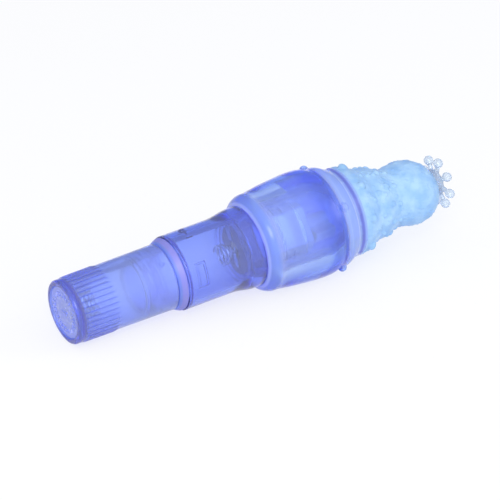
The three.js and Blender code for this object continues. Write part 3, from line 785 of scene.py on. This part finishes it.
# Painted shade: the underside shade tint lies along the bottom of the tube.
shell_blue = clear_material(
    "clear blue plastic", tint=(0.85, 0.885, 0.995), haze=0.08, roughness=0.08,
    soak=(0.2, 0.42, 0.975), density=490, lamp_tint=(0.8, 0.85, 0.99), underside_shade_tint=(0.51, 0.575, 0.82))


def flare_points():
    """Points of the flare, which leaves the barrel and meets the lip smoothly."""
    start = tube_end - TUBE_ROUND - FLARE_LENGTH
    rise = flare_radius - tube_radius
    shares = [k / FLARE_STEPS for k in range(FLARE_STEPS + 1)]
    return [(start + FLARE_LENGTH * share, tube_radius + rise * (1 - math.cos(math.pi * share)) / 2)
            for share in shares]


tube_outline = rounded([
    (tube_start, NECK_BORE, 0.2), (tube_start, NECK_RADIUS - NECK_LEAD, 0.2),
    (tube_start + NECK_LEAD_LENGTH, NECK_RADIUS, 0.5), (shoulder, NECK_RADIUS, 0),
    (shoulder, tube_radius, SHOULDER_ROUND), *[(x, r, 0) for x, r in flare_points()],
    (tube_end, flare_radius, TUBE_ROUND), (tube_end, MOUTH_BORE, 0.2),
    (carrier_end + SEAT_GAP, MOUTH_BORE, 0), (carrier_end + SEAT_GAP, TUBE_BORE, 0),
    (bore_step, TUBE_BORE, 0.5), (shoulder + SHOULDER_SKIN, NECK_BORE, 0.3),
])
tube_outline = stepped(tube_outline, tube_start, carrier_end, TUBE_STEP)
dress("battery_shell", spun(tube_outline, TUBE_SIDES, tube_relief), shell_blue,
      "massager_body", ["battery_tube"])

# %% [markdown]
# ## The head
#
# The motor sits in a domed clear shell whose spigot plugs into the tube. A ring with four notches closes
# the joint. The shell is plain: its looks come from the light that it bends. It bends light less than the
# tube does, and as much as the jelly round it, so that its walls reflect less.

# %% Make the head shell
HEAD_SIDES = 180
DOME_STEPS = 28
head_outer = corners_of("head_shell")[1].max()
head_inner, spigot_radius = radii_at("head_shell", head_start)
dome_middle = head_end - head_outer
collar_start, collar_end = span("collar_ring")
head_shoulder = collar_end + SEAT_GAP


def dome(radius, from_axis=False):
    """A quarter circle of points from the barrel to the axis, or the other way."""
    turns = [math.pi / 2 * k / DOME_STEPS for k in range(DOME_STEPS + 1)]
    turns = turns if from_axis else turns[::-1]
    return [(dome_middle + radius * math.cos(t), radius * math.sin(t)) for t in turns]


head_blue = clear_material(
    "clear blue head plastic", tint=(0.9, 0.935, 1), haze=0.06, roughness=0.2, bending=1.3,
    soak=(0.03, 0.26, 0.97), density=160, lamp_tint=(0.85, 0.88, 0.99))
head_outline = rounded([
    (head_start, head_inner, 0), (head_start, spigot_radius, 0.2), (head_shoulder, spigot_radius, 0),
    (head_shoulder, head_outer, 0.5),
])[:-1]
head_outline += dome(head_outer) + dome(head_inner, from_axis=True)
dress("head_cover", spun(head_outline, HEAD_SIDES), head_blue, "massager_body", ["head_shell"])

# %% Make the collar
COLLAR_SIDES = 240
NOTCH_COUNT = 4
NOTCH_ANGLE = math.radians(15)
NOTCH_HALF = 1.1
NOTCH_DEPTH = 1.3
NOTCH_SOFT = 0.15
collar_inner, collar_radius = radii_at("collar_ring", collar_start)


def collar_relief(x, r, angle):
    """Notches cut into the ring's front."""
    quarter = math.tau / NOTCH_COUNT
    off = abs((angle - NOTCH_ANGLE + quarter / 2) % quarter - quarter / 2) * collar_radius
    notch = np.clip((NOTCH_HALF - off) / NOTCH_SOFT + 0.5, 0, 1)
    front = x > (collar_start + collar_end) / 2
    return x - np.where(front, NOTCH_DEPTH * notch, 0), r


collar_pink = clear_material(
    "clear pink plastic", tint=(0.64, 0.52, 0.86), haze=0.6, roughness=0.3,
    soak=(0.5, 0.37, 0.95), density=100, lamp_tint=(0.85, 0.8, 0.95), grain=0.2)
collar_outline = rounded([
    (collar_start, collar_inner, 0), (collar_start, collar_radius, 0.25),
    (collar_end, collar_radius, 0.25), (collar_end, collar_inner, 0),
])
dress("collar", spun(collar_outline, COLLAR_SIDES, collar_relief), collar_pink,
      "massager_body", ["collar_ring"])

# %% [markdown]
# ## Metal and dark plastic inside
#
# What shows through the shells is metal: the motor's can, the contacts and the springs. Most of it keeps
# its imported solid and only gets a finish, since it lies behind clear walls. A fine noise varies the surface
# and the gloss, and a coarser one the colour, so that no finish looks painted.
#
# The soft rings round the motor and the contact carrier are plain clear forms that hardly show, so they
# keep their solids too and share one faint plastic. It bends light only a little, which keeps the edges of
# the carrier faint.

# %% Metal and moulded materials
PATCH_SIZE = 5
SHADE_SHARES = (0.8, 1.1)
GLOSS_SHARES = (0.6, 1.4)


def solid_material(name, colour, roughness, metallic, grain, grain_size):
    """Metal or opaque plastic."""
    material = bpy.data.materials.new(name)
    add = node_maker(material)
    spot = add("TexCoord").outputs["Object"]
    noise = noise_at(add, spot, grain_size, 4.0)
    bump = add("Bump", Height=noise, Strength=grain, Distance=GRAIN_DEPTH * MM)
    shade = ramp(add, noise_at(add, spot, grain_size / PATCH_SIZE), 0, 1, *SHADE_SHARES)
    tone = add("VectorMath", colour, operation="SCALE", Scale=shade)
    gloss = ramp(add, noise, 0, 1, roughness * GLOSS_SHARES[0], roughness * GLOSS_SHARES[1])
    shader = add("BsdfPrincipled", Base_Color=tone.outputs[0], Metallic=metallic,
                 Roughness=gloss, Normal=bump.outputs["Normal"])
    add("OutputMaterial", shader.outputs[0])
    print("made", name)
    return material


nickel = solid_material("nickel plate", (0.66, 0.67, 0.72), 0.3, 1.0, 0.1, 1500)
steel = solid_material("zinc plated steel", (0.88, 0.89, 0.93), 0.35, 1.0, 0.15, 1200)
brass = solid_material("brass", (0.74, 0.58, 0.32), 0.3, 1.0, 0.1, 1500)
spring_steel = solid_material("dull spring steel", (0.42, 0.46, 0.62), 0.45, 1.0, 0.1, 1500)
copper = solid_material("copper", (0.7, 0.38, 0.25), 0.35, 1.0, 0.1, 1500)
ferrite = solid_material("sintered ferrite", (0.06, 0.06, 0.065), 0.6, 0.0, 0.4, 2500)
dark_plastic = solid_material("dark moulded plastic", (0.2, 0.16, 0.19), 0.45, 0.0, 0.3, 1800)
faint_plastic = clear_material(
    "clear carrier plastic", tint=(0.93, 0.95, 0.995), haze=0.03, roughness=0.05, bending=1.12,
    soak=(0.4, 0.5, 0.976), density=100, lamp_tint=(0.9, 0.92, 0.99))

CAD_FINISHES = {
    "cap_contact": spring_steel, "tube_contact_strip": spring_steel, "positive_contact": nickel,
    "terminal_negative": brass, "terminal_positive": brass, "rear_bush": brass, "front_bush": brass,
    "magnet_left": ferrite, "magnet_right": ferrite, "armature": steel, "commutator": copper,
    "motor_shaft": steel, "eccentric_weight": steel, "motor_end_bell": dark_plastic,
    "motor_holder_rear": faint_plastic, "motor_holder_front": faint_plastic,
    "contact_carrier": faint_plastic,
}
for name, material in CAD_FINISHES.items():
    for held in nodes[name].material_slots:
        held.material = material
print("finished", len(CAD_FINISHES), "packed solids")

# %% [markdown]
# The springs are worth drawing, because one lies in full view in the empty bay. A wire is swept along a
# helix, and flat faces close its two ends. A spring has the radius of its first coil, that of its last
# coil, and a number of turns.

# %% Sweep the springs
def swept(path, radius, sides=10):
    """Wire along a list of points, with flat closed ends."""
    path = np.array(path, float)
    ahead = np.gradient(path, axis=0)
    ahead /= np.linalg.norm(ahead, axis=1)[:, None]
    out = np.stack([np.zeros(len(path)), path[:, 1], path[:, 2]], axis=1)
    out -= ahead * (out * ahead).sum(1)[:, None]
    out /= np.linalg.norm(out, axis=1)[:, None]
    third = np.cross(ahead, out)
    turn = np.arange(sides)[None, :, None] * math.tau / sides
    spots = path[:, None] + radius * (np.cos(turn) * out[:, None] + np.sin(turn) * third[:, None])
    faces = []
    for k in range(len(path) - 1):
        faces += band(k * sides, (k + 1) * sides, sides)
    last = (len(path) - 1) * sides
    faces += [tuple(range(sides))[::-1], tuple(range(last, last + sides))]
    return spots.reshape(-1, 3), faces


def coil(x0, x1, base, top, turns, per_turn=40):
    """Points of a wire wound about the axis, from one radius to another."""
    points = []
    for k in range(turns * per_turn + 1):
        share = k / (turns * per_turn)
        angle = share * turns * math.tau
        radius = base + (top - base) * share
        points.append((x0 + (x1 - x0) * share, radius * math.cos(angle), radius * math.sin(angle)))
    return points


WIRE = 0.35
SPRINGS = {
    "negative_spring": ("cap_spring", "screw_cap", 5.4, 3.1, 4),
    "positive_spring": ("tip_spring", "massager_body", 3.0, 3.0, 2),
}
for node, (name, body, base, top, turns) in SPRINGS.items():
    first, last = span(node)
    wire = coil(first + WIRE, last - WIRE, base, top, turns)
    dress(name, swept(wire, WIRE), nickel, body, [node])

# %% [markdown]
# The motor's can is a round cup with two flats, and the largest piece of metal in the head. So it is
# turned again like the shells. The flats are relief: they draw the wall in to a plane.

# %% Make the motor's can
CAN_SIDES = 160
CAN_WALL = 0.5
CAN_HOLE = 2.8
MOTOR_ANGLE = math.radians(57)
MOTOR_FLAT = 6.1
SMALLEST_SHARE = 0.01
can_start, can_end = span("motor_can")
can_radius = corners_of("motor_can")[1].max()


def can_relief(x, r, angle):
    """Two flats on the wall, which leave the hole in the end round."""
    flat = MOTOR_FLAT / np.maximum(abs(np.cos(angle - MOTOR_ANGLE)), SMALLEST_SHARE)
    squeeze = np.minimum(1, flat / can_radius)
    return x, np.where(r > CAN_HOLE + CAN_WALL, r * squeeze, r)


can_bore = can_radius - CAN_WALL
can_outline = rounded([
    (can_start, can_bore, 0), (can_start, can_radius, 0), (can_end, can_radius, 0.9), (can_end, CAN_HOLE, 0),
    (can_end - CAN_WALL, CAN_HOLE, 0), (can_end - CAN_WALL, can_bore, 0.4),
])
dress("can", spun(can_outline, CAN_SIDES, can_relief), steel, "massager_body", ["motor_can"])

# %% [markdown]
# ## The jelly sleeve
#
# The sleeve is one casting in soft clear jelly. It grips the head, swells over it, steps in past the
# dome, and runs through a nubbed cone and a neck to a ball. Its outline is a smooth curve through named
# shares of its length and greatest radius. The soft end hangs a little, so stations near the tip drop.

# %% The sleeve's outline and droop
DROOP_START = 75
DROOP_DEPTH = 2.6
SLEEVE_RADIUS = 16.6
OUTLINE_SHARES = [
    (0.0015, 0.77), (0.006, 0.8), (0.0135, 0.836), (0.0265, 0.875), (0.0472, 0.905),
    (0.0807, 0.912), (0.1366, 0.945), (0.2077, 0.975), (0.289, 0.998), (0.3448, 0.99),
    (0.3804, 0.955), (0.421, 0.942), (0.4464, 0.9), (0.4769, 0.843), (0.5429, 0.815),
    (0.5835, 0.745), (0.614, 0.685), (0.6628, 0.663), (0.7003, 0.6), (0.741, 0.546),
    (0.7867, 0.575), (0.8476, 0.607), (0.9035, 0.563), (0.9492, 0.45), (0.9848, 0.255), (1, 0),
]
OUTLINE_CUTS = 11
sleeve_length = sleeve_end - sleeve_start
print("the sleeve is", round(sleeve_length, 2), "mm long")


def flowing(corners, cuts):
    """A smooth curve through every corner."""
    corners = np.array(corners, float)
    points = []
    for i in range(len(corners) - 1):
        before, here, after = corners[max(i - 1, 0)], corners[i], corners[i + 1]
        later = corners[min(i + 2, len(corners) - 1)]
        pull, push = (after - before) / 2, (later - here) / 2
        for k in range(cuts):
            t = k / cuts
            points.append(tuple(here + pull * t + (3 * (after - here) - 2 * pull - push) * t ** 2
                                + (2 * (here - after) + pull + push) * t ** 3))
    return points + [tuple(corners[-1])]


def droop(x):
    """How far the soft end hangs at a station."""
    return DROOP_DEPTH * (np.clip(x - DROOP_START, 0, None) / (sleeve_end - DROOP_START)) ** 2


def drooped(shape):
    """Corners and faces, with the corners let down by the droop."""
    spots, faces = shape
    spots = np.array(spots, float)
    spots[:, 2] -= droop(spots[:, 0])
    return spots, faces


# %% [markdown]
# The nubs are relief as well. Rows of round ones circle the cone. A row's numbers are its station, how
# many nubs it has, the share of a step that it is turned by, and a nub's radius and height. Hundreds of
# smaller, lower specks give the jelly its pebbled look. Their places come from a seeded generator, so they
# never change.

# %% Nubs and specks
NUB_ROWS = [
    (88.5, 4, 0.59, 1.35, 1.2), (98.2, 8, 0.73, 1.4, 1.25), (101.2, 8, 0.23, 0.75, 0.45),
    (103.5, 10, 0.3, 0.85, 0.6), (105.5, 9, 0.8, 0.75, 0.5), (107.4, 11, 0.66, 0.95, 0.75),
    (110.4, 10, 0.1, 0.8, 0.6),
]
SPECK_COUNT = 650
SPECK_FROM, SPECK_TO = 92.5, 125.5
SPECK_WIDTH, SPECK_HEIGHT = 0.5, 0.2
SPECK_SIZE_SHARES = (0.6, 1.2)
SPECK_SEED = 7
NOWHERE = -1000

chance = np.random.default_rng(SPECK_SEED)
speck_places = np.stack([
    chance.uniform(SPECK_FROM, SPECK_TO, SPECK_COUNT), chance.uniform(0, math.tau, SPECK_COUNT),
    chance.uniform(*SPECK_SIZE_SHARES, SPECK_COUNT),
], axis=1)
print("nubs:", sum(row[1] for row in NUB_ROWS), "specks:", SPECK_COUNT)


def bump_at(lift, x, r, angle, station, turn, width, height):
    """Adds one round nub to a field of heights, in place."""
    rows = np.where(abs(x[:, 0] - station) < width)[0]
    if len(rows) == 0:
        return
    arc = apart(angle[0], turn) * r[rows[len(rows) // 2], 0]
    columns = np.where(abs(arc) < width)[0]
    if len(columns) == 0:
        return
    far = ((x[np.ix_(rows, columns)] - station) ** 2 + arc[columns][None, :] ** 2) / width ** 2
    nub = height * np.sqrt(np.clip(1 - far, 0, 1))
    patch = lift[np.ix_(rows, columns)]
    lift[np.ix_(rows, columns)] = np.maximum(patch, nub)


def sleeve_relief(x, r, angle):
    """Nubs and specks on the outside of the sleeve, and none in its cavity."""
    outside = np.arange(len(x)) >= cavity_count
    lift = np.zeros_like(r)
    skin = np.where(outside[:, None], x, NOWHERE)
    for station, count, turn, width, height in NUB_ROWS:
        for k in range(count):
            place = math.pi + (k + turn) * math.tau / count
            bump_at(lift, skin, r, angle, station, place, width, height)
    for station, place, size in speck_places:
        bump_at(lift, skin, r, angle, station, place, SPECK_WIDTH * size, SPECK_HEIGHT * size)
    return x, r + lift


# %% [markdown]
# The jelly is one plastic, but it looks different along its length. Over the head its wall is thin and
# clear, and past the dome it is thick and milky. Separate materials would meet in hard seams, so one
# material has zones along the axis instead. A zone has a name, its first and last station, the softness
# of its ends, the haze in it and its tint. Each zone is laid over the ones before it.

# %% Material of the jelly
JELLY_CLEAR = (0.96, 0.975, 1)
JELLY_UNDERSIDE_SHADE = (0.42, 0.51, 0.91)
JELLY_SOAK = (0.03, 0.38, 0.97)
JELLY_DENSITY = 74
JELLY_MILKY = (0.32, 0.56, 0.8)
JELLY_PALE = (0.46, 0.7, 0.86)
JELLY_BENDING = 1.3
JELLY_CLEARNESS = 0.92
JELLY_END = 140
JELLY_ZONES = [
    ("mouth", 60, 65.4, 1.4, 0.4, (0.35, 0.48, 0.9)),
    ("mouth edge", 60, 62.1, 0.25, 0.6, (0.46, 0.55, 0.95)),
    # Painted shade: a deeper blue over the dome's shoulder.
    ("painted shade over the dome's shoulder", 80.5, 87.6, 1.2, 0.08, (0.72, 0.8, 0.95)),
    ("step past the dome", 87.8, JELLY_END, 0.7, 0.5, (0.46, 0.61, 0.94)),
    # The two streaks are painted highlights: thin pale rings where light glints on the jelly.
    ("first painted highlight", 88.9, 89.2, 0.2, 0.5, (0.54, 0.69, 0.95)),
    ("second painted highlight", 92.1, 92.5, 0.2, 0.55, (0.64, 0.79, 0.98)),
    # Painted shade: a dark ring about the jelly, where it looks dark past the dome.
    ("painted shade ring", 93.3, 94.6, 0.4, 0.6, (0.21, 0.25, 0.62)),
    ("cone, neck and ball", 95.3, JELLY_END, 0.7, 0.78, None),
]
CLOUD_SCALE, CLOUD_DARK, CLOUD_PALE = 260, 0.35, 0.65
SKIN_SCALE, SKIN_GRAIN, SKIN_DEPTH = 700, 0.12, 0.08
JELLY_GLOSSY, JELLY_MATT = 0.1, 0.4


def jelly_material():
    """Clear blue over the head, and milky aqua from the cone to the ball."""
    material = bpy.data.materials.new("soft jelly")
    add = node_maker(material)
    spot = add("TexCoord").outputs["Object"]
    station = axis_place(add, spot)[2]

    def slope(middle, soft, least, most):
        """A smooth change about a station."""
        return ramp(add, station, (middle - soft) * MM, (middle + soft) * MM, least, most, "SMOOTHSTEP")

    cloud = noise_at(add, spot, CLOUD_SCALE, 3.0)
    milk = between(add, ramp(add, cloud, CLOUD_DARK, CLOUD_PALE), JELLY_MILKY, JELLY_PALE)
    # Painted shade: the jelly is a deeper blue along the bottom.
    colour = between(add, painted_underside_shade(add, spot), JELLY_CLEAR, JELLY_UNDERSIDE_SHADE)
    clearness = JELLY_CLEARNESS
    for _, first, last, soft, haze, tint in JELLY_ZONES:
        inside = product(add, [slope(first, soft, 0, 1), slope(last, soft, 1, 0)])
        colour = between(add, inside, colour, tint or milk)
        clearness = between(add, inside, clearness, 1 - haze, "VALUE")
    gloss = slope(JELLY_ZONES[-1][1], 1, JELLY_GLOSSY, JELLY_MATT)
    noise = noise_at(add, spot, SKIN_SCALE, 3.0)
    bump = add("Bump", Height=noise, Strength=SKIN_GRAIN, Distance=SKIN_DEPTH * MM)
    shader = add("BsdfPrincipled", Base_Color=colour, Roughness=gloss, IOR=JELLY_BENDING,
                 Normal=bump.outputs["Normal"], Transmission_Weight=clearness)
    soaked = add("VolumeAbsorption", Color=JELLY_SOAK, Density=JELLY_DENSITY)
    add("OutputMaterial", lamps_pass(add, shader, colour), soaked.outputs[0])
    print("made soft jelly with", len(JELLY_ZONES), "zones")
    return material


jelly = jelly_material()

# %% Make the sleeve
SLEEVE_SIDES = 336
SLEEVE_SHARP = 60
HEAD_GRIP = 0.02
HEAD_BORE = head_outer - HEAD_GRIP
SLEEVE_MOUTH = 12.2
THROAT = 2.4
POCKET_END = 96.2
POCKET_RADIUS = 8.8
POCKET_CUTS = 10
LIP_ROUND = 0.35

skin_corners = [(sleeve_start + share * sleeve_length, out * SLEEVE_RADIUS) for share, out in OUTLINE_SHARES]
skin = flowing(skin_corners, OUTLINE_CUTS)
pocket_turn = math.asin(POCKET_RADIUS / HEAD_BORE)
cavity = rounded([
    (POCKET_END, 0, 0), (POCKET_END, POCKET_RADIUS, 0.7),
    (dome_middle + HEAD_BORE * math.cos(pocket_turn), POCKET_RADIUS, 0.3),
    *[(dome_middle + HEAD_BORE * math.cos(turn), HEAD_BORE * math.sin(turn), 0)
      for turn in np.linspace(pocket_turn, math.pi / 2, POCKET_CUTS)[1:]],
    (sleeve_start + THROAT, HEAD_BORE, 0.6),
    (sleeve_start + LIP_ROUND * 2, SLEEVE_MOUTH - LIP_ROUND, 0.5),
    (sleeve_start + LIP_ROUND, SLEEVE_MOUTH, 0), (sleeve_start, SLEEVE_MOUTH + LIP_ROUND / 2, 0),
])
cavity_count = len(cavity)
sleeve_shape = drooped(spun(cavity + skin, SLEEVE_SIDES, sleeve_relief, closed=False))
dress("jelly_sleeve", sleeve_shape, jelly, "sleeve", ["soft_sleeve"], SLEEVE_SHARP)

# %% [markdown]
# ## The crown
#
# The crown is a small clear casting on the ball's nose: a hub with eight stems that end in balls. Hub,
# stems and balls start as overlapping shapes. A voxel remesh melts them into one body, with the soft
# inside corners that a casting has.

# %% Shape the crown's parts
CROWN_COUNT = 8
HUB_RADIUS, HUB_LENGTH = 4.3, 1.5
NOSE_SHARE = 0.6
HUB_SIDES = 48
STEM_SHARE = 0.25
STEM_RADIUS = 0.68
STEM_FLARE = 1.25
STEM_REACH = 7.0
STEM_FOOT = 2
STEM_RISE = 0.8
STEM_LEAN = math.atan2(STEM_RISE, STEM_REACH)
STEM_SIDES = 20
BALL_RADIUS = 1.53
BALL_SIDES, BALL_ROWS = 24, 16
CROWN_ANGLE = math.radians(9)
CROWN_LIFT = 0.9


def crown_parts():
    """Overlapping bodies of the crown, in the axis frame."""
    work = bmesh.new()
    stem_station = sleeve_end + HUB_LENGTH * STEM_SHARE
    spots, faces = spun(rounded([
        (sleeve_end - HUB_LENGTH, 0, 0), (sleeve_end - HUB_LENGTH, HUB_RADIUS, 0.4),
        (stem_station + STEM_RADIUS, HUB_RADIUS, 0.8),
        (sleeve_end + HUB_LENGTH, HUB_RADIUS * NOSE_SHARE, 0.6), (sleeve_end + HUB_LENGTH, 0, 0),
    ]), HUB_SIDES, closed=False)
    hub = bpy.data.meshes.new("hub")
    hub.from_pydata(spots.tolist(), [], faces)
    work.from_mesh(hub)
    bpy.data.meshes.remove(hub)
    for k in range(CROWN_COUNT):
        turn = Matrix.Rotation(CROWN_ANGLE + k * math.tau / CROWN_COUNT, 4, "X")
        seat = Matrix.Translation((stem_station, 0, 0)) @ turn @ Matrix.Rotation(STEM_LEAN, 4, "Y")
        middle = seat @ Matrix.Translation((0, 0, (STEM_REACH + STEM_FOOT) / 2))
        bmesh.ops.create_cone(work, cap_ends=True, segments=STEM_SIDES, radius1=STEM_RADIUS * STEM_FLARE,
                              radius2=STEM_RADIUS, depth=STEM_REACH - STEM_FOOT, matrix=middle)
        bmesh.ops.create_uvsphere(work, u_segments=BALL_SIDES, v_segments=BALL_ROWS, radius=BALL_RADIUS,
                                  matrix=seat @ Matrix.Translation((0, 0, STEM_REACH)))
    for corner in work.verts:
        corner.co.z += CROWN_LIFT - float(droop(np.array(corner.co.x)))
    return work


# %% Melt the crown into one casting
CROWN_VOXEL = 0.14
CROWN_SMOOTHINGS = 3
crown_clear = clear_material(
    "clear crown plastic", tint=(0.67, 0.74, 0.82), haze=0.35, roughness=0.2, bending=1.45,
    soak=(0.5, 0.58, 0.68), density=70, lamp_tint=(0.85, 0.88, 0.93), grain=0.25, grain_size=700)

crown_work = crown_parts()
crown_mesh = bpy.data.meshes.new("crown")
crown_work.to_mesh(crown_mesh)
crown_work.free()
crown_mesh.transform(TO_TABLE)
crown = put("crown", crown_mesh)
remesh = crown.modifiers.new("melt", "REMESH")
remesh.mode = "VOXEL"
remesh.voxel_size = CROWN_VOXEL * MM
smooth = crown.modifiers.new("soften", "SMOOTH")
smooth.iterations = CROWN_SMOOTHINGS
melted = bpy.data.meshes.new_from_object(crown.evaluated_get(bpy.context.evaluated_depsgraph_get()))
crown.modifiers.clear()
crown.data = melted
melted.shade_smooth()
melted.materials.append(crown_clear)
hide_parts("tip_crown")
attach(crown, "sleeve")
print("crown has", len(melted.polygons), "faces")
